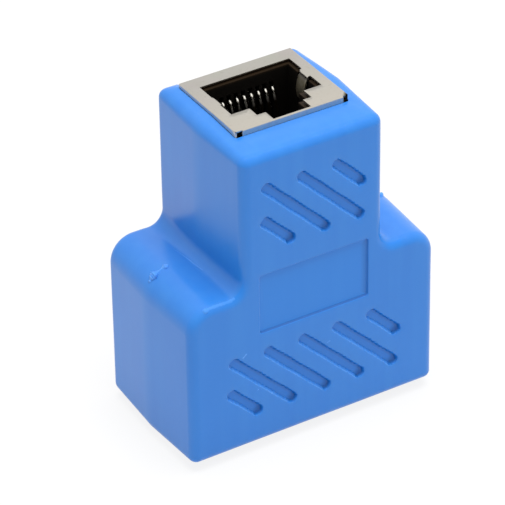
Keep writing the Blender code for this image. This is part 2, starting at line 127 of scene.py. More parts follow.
def arc_points(center, radius, start, sweep, steps):
    """Points center + radius * (cos a, sin a) for angles a in degrees, both ends included."""
    angle = np.radians(start + sweep * np.linspace(0.0, 1.0, steps + 1))
    return np.asarray(center) + radius * np.stack([np.cos(angle), np.sin(angle)], -1)


def run_points(start, end, steps):
    """Evenly spaced points of a straight run, without its two ends."""
    t = np.linspace(0.0, 1.0, steps + 1)[1:-1, None]
    return np.asarray(start) + (np.asarray(end) - np.asarray(start)) * t


def tee_half(inset):
    """Right half of the tee in X and Z, moved in by inset, from the base's middle to the top's.

    Convex arcs shrink and the concave foot grows by the inset, so all insets stay parallel.
    """
    low, stem = LOWER_HALF - inset, STEM_HALF - inset
    base, shoulder, top = BODY_BASE + inset, SHOULDER_TOP - inset, BODY_TOP - inset
    base_r, top_r = max(BASE_RADIUS - inset, LEAST_RADIUS), max(TOP_RADIUS - inset, LEAST_RADIUS)
    shoulder_r, foot_r = SHOULDER_RADIUS - inset, FOOT_RADIUS + inset
    corner = arc_points((low - base_r, base + base_r), base_r, -90, 90, 10)
    bend = arc_points((low - shoulder_r, shoulder - shoulder_r), shoulder_r, 0, 90, 18)
    foot = arc_points((stem + foot_r, shoulder + foot_r), foot_r, -90, -90, 12)
    head = arc_points((stem - top_r, top - top_r), top_r, 0, 90, 10)
    return np.concatenate([
        [(0.0, base)], run_points((0.0, base), corner[0], BASE_STEPS), corner,
        run_points(corner[-1], bend[0], 18), bend,
        run_points(bend[-1], foot[0], 4), foot,
        run_points(foot[-1], head[0], 16), head,
        run_points(head[-1], (0.0, top), TOP_STEPS), [(0.0, top)],
    ])


def tee_ring(inset):
    """The closed tee, its right half followed by the mirrored half run backwards."""
    half = tee_half(inset)
    return np.concatenate([half, half[-2:0:-1] * (-1.0, 1.0)])


def edge_rings():
    """Depth and inset of each ring: the drafted side, then the arc that rounds into the face."""
    middle = HALF_DEPTH - EDGE_RADIUS
    tangent = middle + EDGE_RADIUS * math.sin(DRAFT)
    shift = tangent * math.tan(DRAFT) + EDGE_RADIUS * math.cos(DRAFT)
    side = np.linspace(0.0, tangent, 10)[:-1]
    turn = DRAFT + (math.pi / 2 - DRAFT) * np.linspace(0.0, 1.0, 11)
    depth = np.concatenate([side, middle + EDGE_RADIUS * np.sin(turn)])
    inset = np.concatenate([side * math.tan(DRAFT), shift - EDGE_RADIUS * np.cos(turn)])
    return depth, inset, len(side)


def ring_quads(rings, count, closed=True):
    """Quads between neighbouring rings of count points, or between open rows of them."""
    index = np.arange(rings * count).reshape(rings, count)
    after = np.roll(index, -1, axis=1)
    quads = np.stack([index[:-1], after[:-1], after[1:], index[1:]], -1)
    return quads if closed else quads[:, :-1]


def outward(loop):
    """Unit normals of a closed loop: the chord between a point's neighbours, turned outwards."""
    chord = np.roll(loop, -1, axis=0) - np.roll(loop, 1, axis=0)
    chord /= np.linalg.norm(chord, axis=1, keepdims=True)
    return np.stack([chord[:, 1], -chord[:, 0]], -1)


def follow(path, profile):
    """Rings of a closed path swept by a profile of (outward offset, depth) pairs, and its quads.

    Each path point moves along its outward normal by the offset. The rings hold two flat
    coordinates and a depth.
    """
    offset, depth = profile.T
    flat = path[None] + offset[:, None, None] * outward(path)[None]
    down = np.broadcast_to(depth[:, None, None], flat.shape[:2] + (1,))
    quads = ring_quads(*flat.shape[:2]).reshape(-1, 4)
    return np.concatenate([flat, down], -1), quads.tolist()


def at_depth(flat, depth):
    """Flat points with one depth as their third coordinate."""
    return np.column_stack([flat, np.full(len(flat), float(depth))])


def round_box(half_x, half_y, radius, steps=6, spacing=SPACING, center=(0.0, 0.0)):
    """Outline of a box with round corners, counter-clockwise, its sides cut at one spacing."""
    corners = [(1, -1, -90), (1, 1, 0), (-1, 1, 90), (-1, -1, 180)]
    arcs = [arc_points((x * (half_x - radius), y * (half_y - radius)), radius, start, 90, steps)
            for x, y, start in corners]
    outline = []
    for this, that in zip(arcs, arcs[1:] + arcs[:1]):
        gap = np.linalg.norm(that[0] - this[-1])
        outline += [this, run_points(this[-1], that[0], max(int(gap / spacing), 2))]
    return np.concatenate(outline) + np.asarray(center)


# Grip slots on both faces: the stem's start below its top, and the lower block's above its base.
SLOT_PITCH, SLOT_HALF_WIDTH, SLOT_DEPTH, SLOT_RISE = 4.98, 0.75, 0.55, 8.2
SLOT_RIM, SLOT_FILLET, SLOT_TAPER = 0.14, 0.15, 0.16
SLOT_STEP, SLOT_NET = 0.17, 0.3
STEM_WINDOW, STEM_WINDOW_DROP = 6.8, 5.3
BLOCK_WINDOW, BLOCK_WINDOW_RISE = 11.95, 5.6


def capsule(first, last, radius, steps=10):
    """Outline of a slot between two end centres, counter-clockwise, with a ragged edge.

    The edge wanders by up to 0.1 mm in three waves along it, as the mould's cutter left it.
    """
    heading = math.degrees(math.atan2(*(last - first)[::-1]))
    runs = max(int(np.linalg.norm(last - first) / SLOT_STEP), 1)
    head = arc_points(last, radius, heading - 90, 180, steps)
    tail = arc_points(first, radius, heading + 90, 180, steps)
    outline = np.concatenate([head, run_points(head[-1], tail[0], runs),
                              tail, run_points(tail[-1], head[0], runs)])
    x, z = outline.T
    wander = 0.03 * np.sin(4.1 * x + 2.3 * z) + 0.04 * np.sin(6.7 * x - 5.1 * z + 1.0)
    wander += 0.03 * np.sin(11.1 * x - 7.3 * z + 2.0)
    return outline + outward(outline) * wander[:, None]


def slot_centres(half_window, low):
    """End centres of the 45 degree slots on one pitch, cut short at the window's sides."""
    number = np.arange(-6, 6)
    start = (number + 0.5) * SLOT_PITCH - SLOT_RISE / 2
    left = np.maximum(start, -half_window)
    right_end = np.minimum(start + SLOT_RISE, half_window)
    kept = right_end - left > 2 * SLOT_HALF_WIDTH
    start, left, right_end = start[kept], left[kept], right_end[kept]
    first = np.stack([left, low + SLOT_RISE - (left - start)], -1)
    last = np.stack([right_end, low + (start + SLOT_RISE - right_end)], -1)
    return list(zip(first, last))


quarter = np.radians(np.linspace(0.0, 90.0, 4))


def rim_bend(radius):
    """Profile of a recess's rim: a quarter circle from the flat skin down to its wall."""
    return np.stack([radius * (1 - np.sin(quarter)), radius * (1 - np.cos(quarter))], -1)


def floor_bend(radius, taper, depth):
    """Profile of the quarter circle from a wall that leans in by taper to a floor at depth."""
    return np.stack([-taper - radius * (1 - np.cos(quarter)), depth - radius * (1 - np.sin(quarter))], -1)


slot_profile = np.concatenate([rim_bend(SLOT_RIM), floor_bend(SLOT_FILLET, SLOT_TAPER, SLOT_DEPTH)])
slots = slot_centres(STEM_WINDOW, BODY_TOP - STEM_WINDOW_DROP - SLOT_RISE)
slots += slot_centres(BLOCK_WINDOW, BODY_BASE + BLOCK_WINDOW_RISE)

# The bare recessed panel on the front, and the three pockets that the sockets sit in.
PANEL_HALF_WIDTH, PANEL_HEIGHT, PANEL_BASE, PANEL_DEPTH = 7.85, 8.5, BODY_BASE + 16.9, 0.33
PANEL_CORNER, PANEL_BEND, PANEL_TAPER = 0.35, 0.12, 0.08
panel_path = round_box(PANEL_HALF_WIDTH, PANEL_HEIGHT / 2, PANEL_CORNER,
                       center=(0.0, PANEL_BASE + PANEL_HEIGHT / 2))
panel_profile = np.concatenate([rim_bend(PANEL_BEND), floor_bend(PANEL_BEND, PANEL_TAPER, PANEL_DEPTH)])
JACK_HALF_WIDTH, JACK_HALF_HEIGHT, JACK_DEPTH, JACK_Y = 7.8, 6.72, 20.6, 1.05
JACK_TOP, LOWER_JACK_X = 44.3, 8.45
FLARE_LEFT, FLARE_RIGHT = 0.30, 0.10
POCKET_GAP, POCKET_RIM, POCKET_CORNER, POCKET_NET = 0.02, 0.05, 0.3, 4.0
FALL_DEPTH, POCKET_STEP = 2.0, 3.0
CREEP, CREEP_REACH = 0.16, 8.75
pocket_profile = np.concatenate([rim_bend(POCKET_RIM), [(0.0, POCKET_STEP), (0.0, JACK_DEPTH)]])


def on_face(rows, side):
    """Rows of x, z and depth put on the front face, where side is -1, or on the back face."""
    x, z, depth = rows.reshape(-1, 3).T
    return np.stack([x, side * (HALF_DEPTH - depth), z], -1)


def on_end(rows, up_sign):
    """Rows of x, y and depth put on the stem's top, where up_sign is 1, or on the underside.

    The draft makes both ends fall away to the front and back, and the top's skin creeps up
    0.16 mm where it meets the socket.
    """
    x, y, depth = rows.reshape(-1, 3).T
    fall = depth + np.abs(y) * math.tan(DRAFT) * ramp(FALL_DEPTH - depth, FALL_DEPTH)
    if up_sign < 0:
        return np.stack([x, y, BODY_BASE + fall], -1)
    crept = CREEP * ramp(HALF_DEPTH - EDGE_RADIUS - np.abs(y), 1.2)
    crept *= ramp(CREEP_REACH - np.abs(x), 0.5)
    return np.stack([x, y, BODY_TOP - fall + crept], -1)


def recessed(put, sign, outline, features):
    """Shells of a flat face or end: each recess's walls and floor, then the skin round them all.

    A feature is the path of a recess, the profile of its walls and the spacing of its floor's
    net, and put is on_face or on_end.
    """
    shells, rims = [], []
    for path, profile, spacing in features:
        walls, faces = follow(path, profile)
        floor, triangles = fill_flat(walls[-1, :, :2], [], spacing)
        shells += [(put(walls, sign), faces), (put(at_depth(floor, walls[-1, 0, 2]), sign), triangles)]
        rims.append(walls[0, :, :2])
    skin, triangles = fill_flat(outline, rims)
    return shells + [(put(at_depth(skin, 0.0), sign), triangles)]


def body_surfaces():
    """Points and faces of the body's skin: two lofts, four flats and their sunk features."""
    shells = []
    depth, inset, side_rings = edge_rings()
    rings = np.stack([tee_ring(i) for i in inset])
    count = rings.shape[1]
    top_middle = len(tee_half(0.0)) - 1
    flat_runs = np.zeros(count, bool)
    flat_runs[:BASE_STEPS] = flat_runs[count - BASE_STEPS:] = True
    flat_runs[top_middle - TOP_STEPS:top_middle + TOP_STEPS] = True
    ends = (np.arange(len(depth) - 1) < side_rings)[:, None] & flat_runs[None]
    quads = ring_quads(*rings.shape[:2])[~ends].tolist()
    grips = [(capsule(first, last, SLOT_HALF_WIDTH), slot_profile, SLOT_NET) for first, last in slots]
    for side, panel in ((-1.0, [(panel_path, panel_profile, SPACING)]), (1.0, [])):
        y = np.broadcast_to(side * depth[:, None, None], rings.shape[:2] + (1,))
        loft = np.concatenate([rings[..., :1], y, rings[..., 1:]], -1).reshape(-1, 3)
        shells.append((loft, quads))
        shells += recessed(on_face, side, rings[-1], grips + panel)
    run = depth[:side_rings + 1]
    run = np.concatenate([-run[::-1], run[1:]])
    half_width = JACK_HALF_WIDTH + (FLARE_RIGHT + FLARE_LEFT) / 2 + POCKET_GAP
    for up_sign, middle, steps, jacks in ((1, top_middle, TOP_STEPS, (0.0,)),
                                          (-1, 0, BASE_STEPS, (-LOWER_JACK_X, LOWER_JACK_X))):
        edge = rings[:side_rings + 1, middle - up_sign * steps, 0]
        right_side = np.column_stack([np.concatenate([edge[::-1], edge[1:]]), run])
        row = np.sort(rings[side_rings, middle + np.arange(1 - steps, steps), 0])
        front_row = np.column_stack([row, np.full(len(row), run[0])])
        outline = np.concatenate([front_row, right_side, -front_row, right_side[::-1] * (-1.0, 1.0)])
        shift = up_sign * (FLARE_RIGHT - FLARE_LEFT) / 2
        pockets = [round_box(half_width, JACK_HALF_HEIGHT + POCKET_GAP, POCKET_CORNER,
                             center=(x + shift, JACK_Y)) for x in jacks]
        shells += recessed(on_end, up_sign, outline,
                           [(path, pocket_profile, POCKET_NET) for path in pockets])
    return shells


# Flash and nicks, as beads on the skin: two on the shoulders' seams, two where the mould's insert
# met the left shoulder, and the nicks, each with its ends in X and Z, its height and half width.
BEAD_SUNK, BEAD_SIDES, SEAM_BACK = 0.06, 12, 0.12
RIM_INSET, LIP_INSET = 1.708, 0.7
NICKS = [
    (-10.62, 14.8, -9.67, 15.6, 0.015, 0.24),
    (1.6, 12.65, 2.4, 12.9, 0.015, 0.2),
    (-8.45, 9.35, -8.15, 9.5, 0.02, 0.14),
    (-6.5, 8.05, -6.15, 8.2, 0.02, 0.15),
]
# Paleness of each bead in turn: the nubs and nicks are paler plastic, and the lip's paleness also paints
# the highlight along the shoulder's front rim.
BEAD_PALENESS = [0.9, 0.9, 0.45, 0.6, 0.8, 0.6, 0.9, 0.9]


def tube(rings):
    """Points and faces of a tube through rings of points, with a face that closes each end."""
    length, count = rings.shape[:2]
    first = np.arange(count)
    caps = [first.tolist(), (first + (length - 1) * count).tolist()]
    return rings.reshape(-1, 3), ring_quads(length, count).reshape(-1, 4).tolist() + caps


def flash_bead(path, out, height, half_width):
    """A ragged bead of overflowed plastic on the skin: an oval ring across each point of a path.

    A ring's point is path + out * ((height + sunk) * lift(a) - sunk) + across * half_width * cos(a),
    where lift is sin(a) above the skin and 0.4 sin(a) below, and the first and last rings close.
    """
    across = np.cross(np.gradient(path, axis=0), out)
    across /= np.linalg.norm(across, axis=1, keepdims=True)
    number = np.arange(len(path))
    end = np.clip(np.minimum(number, number[::-1]) / 3.0, 0.05, 1.0)
    around = np.linspace(0.0, 2 * math.pi, BEAD_SIDES, endpoint=False)
    lift = np.where(np.sin(around) > 0, 1.0, 0.4) * np.sin(around)
    rise = ((height + BEAD_SUNK) * end)[:, None] * lift - BEAD_SUNK
    spread = (half_width * end)[:, None] * np.cos(around)
    return tube(path[:, None] + out[:, None] * rise[..., None] + across[:, None] * spread[..., None])


def bell(t, peak, spread):
    """exp(-((t - peak) / spread)^2), 1 at the peak."""
    return np.exp(-((t - peak) / spread) ** 2)


def ragged(t):
    """Two beating sine waves between 0 and 1."""
    return 0.5 + 0.25 * np.sin(1.9 * t) + 0.25 * np.sin(0.83 * t + 1.0)


def shoulder_seam(side, angle):
    """Path and outward direction over a shoulder at the seam, by the angle up from level."""
    turn = np.radians(angle)
    out = np.stack([side * np.cos(turn), np.zeros_like(turn), np.sin(turn)], -1)
    center = np.array([side * (LOWER_HALF - SHOULDER_RADIUS), SEAM_BACK, SHOULDER_TOP - SHOULDER_RADIUS])
    return center + out * SHOULDER_RADIUS, out


def shoulder_beads():
    """A gate nub, a lump and a speck on the left shoulder's seam, and a nub on the right one."""
    angle = np.linspace(36.0, 87.0, 90)
    nub, lump, speck = bell(angle, 52.0, 8.0), bell(angle, 78.0, 5.5), bell(angle, 39.5, 1.3)
    height = 0.015 + 0.05 * ragged(angle) + (0.54 * nub + 0.24 * lump) * (0.6 + 0.4 * ragged(angle))
    width = 0.05 + 0.04 * ragged(angle) + (0.62 * nub + 0.42 * lump) * (0.7 + 0.5 * ragged(2.3 * angle))
    left = flash_bead(*shoulder_seam(-1, angle), height + 0.1 * speck, width + 0.1 * speck)
    angle = np.linspace(46.0, 68.0, 40)
    nub = bell(angle, 57.0, 4.5)
    height = 0.03 + 0.42 * nub * (0.7 + 0.3 * ragged(angle))
    return [left, flash_bead(*shoulder_seam(1, angle), height, 0.08 + 0.3 * nub)]


def insert_lip():
    """The insert's line along the left shoulder's front rim, 40 degrees up its rounding.

    It drops with the shoulder's arc at one end, where it has a nick, and climbs with the
    foot's arc at the other.
    """
    x = np.linspace(-15.7, -10.95, 70)
    turn = math.radians(40.0)
    edge_y = -(HALF_DEPTH - EDGE_RADIUS * (1 - math.sin(turn)))
    edge_z = SHOULDER_TOP - RIM_INSET + EDGE_RADIUS * math.cos(turn)
    foot, shoulder = FOOT_RADIUS + LIP_INSET, SHOULDER_RADIUS - LIP_INSET
    climb = foot - np.sqrt(foot ** 2 - np.clip(x + STEM_HALF + FOOT_RADIUS, 0, None) ** 2)
    drop = shoulder - np.sqrt(shoulder ** 2 - np.clip(SHOULDER_RADIUS - LOWER_HALF - x, 0, None) ** 2)
    path = np.stack([x, np.full_like(x, edge_y), edge_z + climb - drop], -1)
    out = np.broadcast_to([0.0, -math.sin(turn), math.cos(turn)], path.shape)
    nick = bell(x, -15.3, 0.3)
    return flash_bead(path, out, 0.015 + 0.025 * ragged(9 * x) + 0.12 * nick,
                      0.18 + 0.08 * ragged(7 * x) + 0.12 * nick)


def insert_foot():
    """The insert's line through the left foot, 18 degrees up its arc as it comes forward."""
    t = np.linspace(0.0, 1.0, 50)
    turn, y = np.radians(2.0 + 18.0 * t), 3.1 - 6.4 * t
    radius = FOOT_RADIUS + np.abs(y) * math.tan(DRAFT)
    path = np.stack([radius * np.sin(turn) - STEM_HALF - FOOT_RADIUS, y,
                     SHOULDER_TOP + FOOT_RADIUS - radius * np.cos(turn)], -1)
    out = np.stack([-np.sin(turn), np.zeros_like(turn), np.cos(turn)], -1)
    return flash_bead(path, out, 0.01 + 0.04 * bell(t, 0.72, 0.25), 0.04 + 0.07 * bell(t, 0.7, 0.3))


def front_nick(x0, z0, x1, z1, height, half_width):
    """A short raised scratch on the front face between two places in X and Z."""
    t = np.linspace(0.0, 1.0, 16)
    path = np.stack([x0 + (x1 - x0) * t, np.full_like(t, -HALF_DEPTH), z0 + (z1 - z0) * t], -1)
    out = np.broadcast_to([0.0, -1.0, 0.0], path.shape)
    return flash_bead(path, out, height * (0.5 + 0.5 * ragged(14 * t)),
                      half_width * (0.6 + 0.4 * ragged(11 * t)))


def add_mark(mesh, name, values):
    """Stores a number at each point of a mesh, under a name that its material reads."""
    layer = mesh.attributes.new(name, "FLOAT", "POINT")
    layer.data.foreach_set("value", values.astype(np.float32))


def joined_mesh(name, shells, weld=1e-7, **marks):
    """One mesh from several shells in millimetres, welded where they meet, faces outwards.

    Each mark is an attribute of that name with one number for all points of each shell, and
    weld is in metres.
    """
    points = np.concatenate([p for p, _ in shells]) / 1000.0
    faces, start = [], 0
    for spots, polygons in shells:
        faces += [[v + start for v in polygon] for polygon in polygons]
        start += len(spots)
    mesh = bpy.data.meshes.new(name)
    mesh.from_pydata(points.tolist(), [], faces)
    for mark, values in marks.items():
        add_mark(mesh, mark, np.repeat(values, [len(p) for p, _ in shells]))
    bm = bmesh.new()
    bm.from_mesh(mesh)
    bmesh.ops.remove_doubles(bm, verts=bm.verts, dist=weld)
    bmesh.ops.recalc_face_normals(bm, faces=bm.faces)
    bm.to_mesh(mesh)
    bm.free()
    return mesh


def mesh_points(mesh):
    """A mesh's points in millimetres, one row of x, y and z for each."""
    spots = np.empty(len(mesh.vertices) * 3, np.float32)
    mesh.vertices.foreach_get("co", spots)
    return spots.reshape(-1, 3) * 1000.0


def new_piece(name, mesh, finish, slot_name, sharp_angle, *nodes):
    """An object for a finished mesh, riding on the part and standing for its CAD nodes."""
    mesh.shade_smooth()
    mesh.set_sharp_from_angle(angle=math.radians(sharp_angle))
    mesh.materials.append(finish)
    piece = bpy.data.objects.new(name, mesh)
    bpy.context.scene.collection.objects.link(piece)
    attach(piece, "root")
    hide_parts(*nodes)
    return piece


class Value:
    """A shader socket that takes part in Python expressions by adding Math nodes."""

    def __init__(self, tree, socket):
        self.tree, self.socket = tree, socket

    def math(self, operation, *others):
        """A Math node on this value and the others."""
        return math_node(self.tree, operation, self, *others)

    def __add__(self, other):
        return self.math("ADD", other)

    def __sub__(self, other):
        return self.math("SUBTRACT", other)

    def __mul__(self, other):
        return self.math("MULTIPLY", other)

    def __rsub__(self, other):
        return math_node(self.tree, "SUBTRACT", other, self)

    __radd__ = __add__
    __rmul__ = __mul__


def math_node(tree, operation, *values):
    """The result of a Math node on numbers and Values."""
    node = tree.nodes.new("ShaderNodeMath")
    node.operation = operation
    for slot_in, value in zip(node.inputs, values):
        plug(tree, slot_in, value)
    return Value(tree, node.outputs[0])


def plug(tree, slot_in, value):
    """Links a Value or another socket, or writes a number or colour, into a node's input."""
    if isinstance(value, Value):
        tree.links.new(value.socket, slot_in)
    elif isinstance(value, bpy.types.NodeSocket):
        tree.links.new(value, slot_in)
    elif isinstance(value, tuple) and slot_in.type == "RGBA":
        slot_in.default_value = (*value, 1.0)
    else:
        slot_in.default_value = value


def feed(tree, node, **sockets):
    """Plugs values into a node's sockets, by their names with _ for a space."""
    for key, value in sockets.items():
        name = key.replace("_", " ")
        found = [s for s in node.inputs if s.name == name and s.enabled]
        plug(tree, found[0], value)


def add_node(tree, kind, settings=None, **sockets):
    """Any other node: its settings first, and then its sockets."""
    node = tree.nodes.new("ShaderNode" + kind)
    for key, value in (settings or {}).items():
        setattr(node, key, value)
    feed(tree, node, **sockets)
    return node


def new_finish(name):
    """An empty material with its tree, its Principled shader and its object coordinates."""
    finish = bpy.data.materials.new(name)
    finish.use_nodes = True
    tree = finish.node_tree
    spot = Value(tree, add_node(tree, "TexCoord").outputs["Object"])
    return finish, tree, tree.nodes["Principled BSDF"], spot


def grain(tree, spot, scale, detail=2.0, roughness=0.5, stretch=(1.0, 1.0, 1.0)):
    """Noise from 0 to 1 with scale cycles per metre, drawn out where stretch is below 1."""
    drawn = add_node(tree, "VectorMath", {"operation": "MULTIPLY"}, Vector=spot)
    drawn.inputs[1].default_value = stretch
    noise = add_node(tree, "TexNoise", Vector=drawn.outputs[0], Scale=scale, Detail=detail,
                     Roughness=roughness)
    return Value(tree, noise.outputs["Fac"])


def step_between(value, low, high):
    """0 below low and 1 above high, straight between them."""
    node = add_node(value.tree, "MapRange", {"clamp": True},
                    Value=value, From_Min=low, From_Max=high, To_Min=0.0, To_Max=1.0)
    return Value(value.tree, node.outputs[0])


def part_of(tree, vector, axis):
    """One of a vector's X, Y and Z."""
    return Value(tree, add_node(tree, "SeparateXYZ", Vector=vector).outputs[axis])


def layered(tree, color, *layers):
    """A colour with others mixed over it in turn, each by an amount.

    A Mix node set to colours takes its factor at input 0 and the two colours at 6 and 7.
    """
    for amount, shade in layers:
        node = add_node(tree, "Mix", {"data_type": "RGBA"})
        for number, value in ((0, amount), (6, color), (7, shade)):
            plug(tree, node.inputs[number], value)
        color = node.outputs[2]
    return color


def read_attribute(tree, name):
    """A number that the mesh carries at each point."""
    node = add_node(tree, "Attribute", {"attribute_name": name})
    return Value(tree, node.outputs["Fac"])


def bump(tree, height, strength, distance, **before):
    """A Bump node for a height from 0 to 1 over a distance in metres, on a Normal if given."""
    node = add_node(tree, "Bump", Height=height, Strength=strength, Distance=distance, **before)
    return node.outputs["Normal"]


DEEP_BLUE, CLEAR_BLUE = (0.0120, 0.171, 0.590), (0.0150, 0.195, 0.640)
MOTTLE_BLUE, STREAK_BLUE = (0.022, 0.21, 0.66), (0.024, 0.215, 0.64)
# Painted shade: the deeper blue for the slots' depths, and the darker blue for their upper corners and the
# panel's walls.
GROOVE_SHADE_BLUE, SHADE_BLUE = (0.002, 0.186, 0.650), (0.002, 0.095, 0.36)
# The pale blue is for the beads and for painted highlights on the slots' lower walls and the panel's left
# rim; the grey is mixed in where the skin faces up.
FLASH_AND_HIGHLIGHT_BLUE, UPWARD_GREY = (0.10, 0.34, 0.85), (0.38, 0.40, 0.42)


def blue_plastic():
    """Satin soft plastic: a clean blue with faint clouding and die streaks, a fine grain, a
    little grey where it faces up, painted shade in the slots and along the panel's walls,
    painted highlights on their rims, and paler beads, where the mesh says so."""
    finish, tree, shader, spot = new_finish("satin_blue_plastic")
    clouds = grain(tree, spot, 90.0, 3.0)
    mottle = grain(tree, spot, 900.0)
    streaks = grain(tree, spot, 500.0, 2.0, 0.6, (1.0, 1.0, 0.06))
    groove_depth, painted_shade = read_attribute(tree, "groove"), read_attribute(tree, "painted_shade")
    upward = part_of(tree, add_node(tree, "NewGeometry").outputs["Normal"], "Z")
    # Painted shade in the slots and along the panel's walls, and painted highlights on their lower and
    # left rims, come from the marks on the mesh.
    color = layered(
        tree, DEEP_BLUE, (clouds, CLEAR_BLUE),
        (step_between(mottle, 0.45, 0.75) * 0.12, MOTTLE_BLUE),
        (step_between(streaks, 0.42, 0.68) * 0.35, STREAK_BLUE),
        (groove_depth * 0.9, GROOVE_SHADE_BLUE), (painted_shade * 0.8, SHADE_BLUE),
        (read_attribute(tree, "flash") * 0.8, FLASH_AND_HIGHLIGHT_BLUE),
        (step_between(upward, 0.3, 1.0) * (0.035 + mottle * 0.03), UPWARD_GREY))
    soft = bump(tree, clouds + streaks * 0.35, 0.35, 0.00004)
    feed(tree, shader, Base_Color=color, IOR=1.5,
         Roughness=0.25 + clouds * 0.05 + streaks * 0.05 + groove_depth * 0.10,
         Normal=bump(tree, grain(tree, spot, 5200.0), 0.30, 0.000010, Normal=soft))
    return finish


STEM_EDGE, BLOCK_EDGE, LOWEST_SLOT, HIGHEST_SLOT = 7.6, 12.8, 4.0, 40.0
PANEL_TOP, LEDGE_WIDTH = PANEL_BASE + PANEL_HEIGHT, 0.22


def mark_skin(mesh):
    """Stores the skin's painted darker and paler places, worked out from its drawn shape.

    The first mark is how far a point lies below the front or back face, in slot depths. The
    second is painted shade in a slot's upper inside corner: 1 at its upper wall, gone 0.5 mm
    down the floor, by the distance from the slot's middle line towards the upper right. It also
    paints shade along the panel's lower and right walls. Painted highlights on the slots' lower
    walls and the panel's left rim are added to the mark that makes the beads paler.
    """
    x, y, z = mesh_points(mesh).T
    depth = HALF_DEPTH - np.abs(y)
    sunk = ramp(depth, SLOT_DEPTH)
    near = depth < SLOT_DEPTH + 0.05
    between = np.abs(x) < np.where(z > SHOULDER_TOP + 2.0, STEM_EDGE, BLOCK_EDGE)
    between &= (z > LOWEST_SLOT) & (z < HIGHEST_SLOT)
    add_mark(mesh, "groove", np.where(between & near, sunk, 0.0))
    ends = np.array(slots)
    off = np.stack([x, z], -1)[:, None] - ends[None, :, 0]
    along, across = (off[..., 0] - off[..., 1]) / math.sqrt(2), (off[..., 0] + off[..., 1]) / math.sqrt(2)
    length = np.linalg.norm(ends[:, 1] - ends[:, 0], axis=1)
    held = (np.abs(across) < SLOT_HALF_WIDTH + 0.1) & (along > -0.8) & (along < length + 0.8)
    upper = ramp(across - 0.15, 0.5) + 0.9 * ramp(along - length + 0.45, 0.7)
    # Painted shade: darkest at the slots' upper inside corners and lower right ends, and along the panel's
    # lower and right walls.
    shade_amount = np.where(held, upper, 0.0).max(1) * (sunk > 0.55) * near
    low_edge = (z < PANEL_BASE + LEDGE_WIDTH) & (z > PANEL_BASE - 0.05) & (depth < PANEL_DEPTH - 0.005)
    right_edge = (x > PANEL_HALF_WIDTH - LEDGE_WIDTH) & (z < PANEL_TOP) & (z > PANEL_BASE)
    ledge = (np.abs(x) < PANEL_HALF_WIDTH + 0.05) & (low_edge | right_edge) & (y < 0) & (sunk > 0.2)
    shade_amount = np.where(ledge, np.where(right_edge, 0.6, 1.0), shade_amount)
    add_mark(mesh, "painted_shade", np.clip(shade_amount, 0, 1))
    # Painted highlights: the slots' lower walls and the panel's left rim are made paler.
    lower_wall = (held & (across < -0.5) & (along < length)).any(1)
    wall_highlight = lower_wall & (depth > 0.01) & (depth < 0.75 * SLOT_DEPTH)
    left_rim = (np.abs(x + PANEL_HALF_WIDTH + 0.03) < 0.06) & (y < 0) & (depth > 0.01) & (depth < 0.2)
    left_rim &= (z > PANEL_BASE) & (z < PANEL_TOP)
    flash = mesh.attributes["flash"].data
    values = np.empty(len(x), np.float32)
    flash.foreach_get("value", values)
    pale = np.where(left_rim, 0.5, np.where(wall_highlight, 0.7, 0.0))
    flash.foreach_set("value", np.maximum(values, pale).astype(np.float32))


SAG_X = [-9.9, -9.2, -7.2, -6.7, 7.6, 8.4, 9.6, 10.2]
SAG = [-0.15, -0.03, 0.02, 0.36, 0.36, 0.14, 0.17, 0.06]
SWELL, CLIMB, WAVE = 0.12, 0.045, 0.006
FACE_SHRINK, SIDE_SHRINK = 0.030, 0.018


def eased(t, run):
    """A ramp that starts and ends gently, 3 s^2 - 2 s^3."""
    s = ramp(t, run)
    return s * s * (3 - 2 * s)


def settle(mesh):
    """Moves the skin off its drawn shape, as cooling leaves it, by smooth sums in millimetres.

    The stem's top sags by up to 0.36 mm behind the socket and climbs as much at its left side,
    and the shoulders swell by 0.12 mm. The faces and sides shrink by 0.03 and 0.02 mm, with
    three long waves of 0.006 mm.
    """
    spots = mesh_points(mesh)
    x, y, z = spots.T
    low, back = eased(z - 39.0, 4.0), eased(y - 3.0, 5.5)
    out, high = eased(np.abs(x) - 10.6, 2.4), eased(z - 18.5, 4.0)
    sag = low * back * np.interp(x, SAG_X, SAG)
    beside = ramp(x + 9.8, 1.2) * ramp(-6.9 - x) * ramp(9.4 - y)
    swell = SWELL * out * high + CLIMB * np.clip(y, 0, 8) * low * beside
    wave = WAVE * (np.sin(0.55 * x + 0.31 * z) + np.sin(0.47 * z - 0.38 * y + 1.3)
                   + np.sin(0.61 * y + 0.29 * x + 2.1))
    near_face = ramp(np.abs(y) - HALF_DEPTH + 1.6)
    near_side = ramp(np.abs(x) - STEM_HALF + 1.6) * ramp(z - 1.5, 2.0)
    spots[:, 1] -= np.sign(y) * (wave + FACE_SHRINK) * near_face
    spots[:, 0] -= np.sign(x) * (wave + SIDE_SHRINK) * near_side
    spots[:, 2] += swell - sag
    mesh.vertices.foreach_set("co", (spots / 1000.0).ravel())


skin = body_surfaces()
beads = [*shoulder_beads(), insert_lip(), insert_foot(), *[front_nick(*nick) for nick in NICKS]]
body_mesh = joined_mesh("blue_body", skin + beads, flash=[0.0] * len(skin) + BEAD_PALENESS)
mark_skin(body_mesh)
settle(body_mesh)
body = new_piece("blue_body", body_mesh, blue_plastic(), "moulded_body", 32, "body")
even = body.modifiers.new("even_normals", "WEIGHTED_NORMAL")
even.keep_sharp = True


